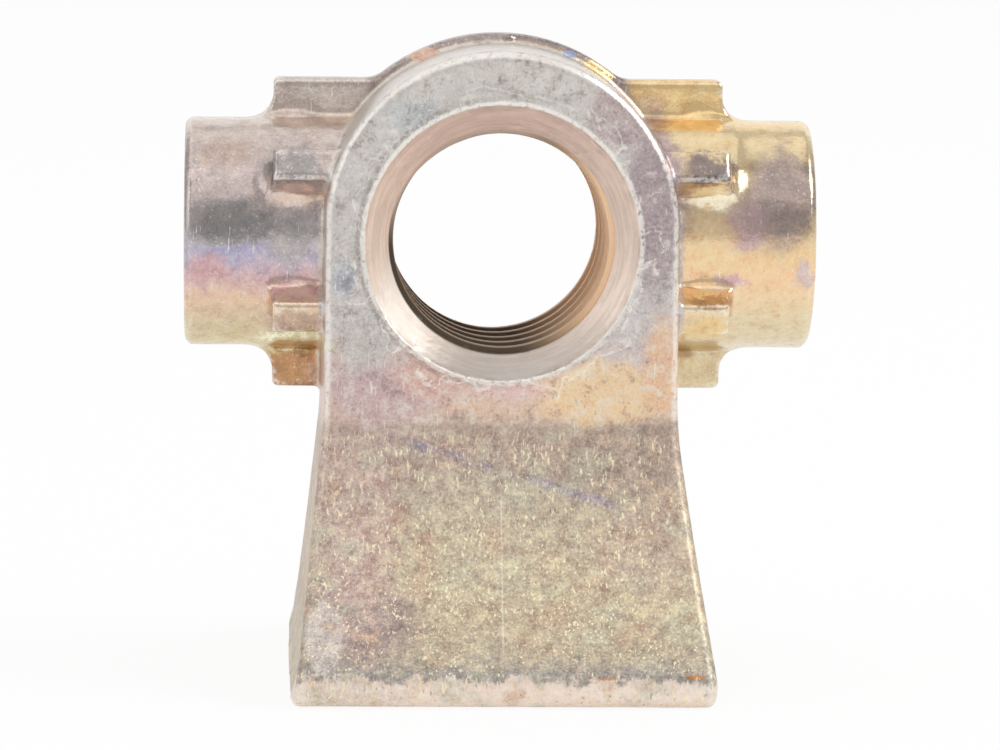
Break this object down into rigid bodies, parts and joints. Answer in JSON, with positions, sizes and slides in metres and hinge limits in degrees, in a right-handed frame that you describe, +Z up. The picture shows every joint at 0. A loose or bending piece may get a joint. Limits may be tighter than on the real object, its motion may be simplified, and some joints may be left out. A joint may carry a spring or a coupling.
{
  "type": "spindle nut",
  "caption": "One-piece cast spindle nut: an arched boss with a threaded bore, ribbed trunnions at the sides to swing on, and a flared foot below.",
  "frame": {"origin": "where the spindle bore's axis crosses the trunnions' common axis", "axes": "+Z up from the foot to the boss, +X along the trunnions, +Y along the bore and away from the front face"},
  "size_m": [0.0478, 0.0428, 0.0491],
  "materials": {
    "chromated_casting": "as-cast iron, zinc plated and yellow passivated, slightly iridescent"
  },
  "bodies": {
    "root": {"spindle_nut": "chromated_casting"}
  },
  "joints": []
}
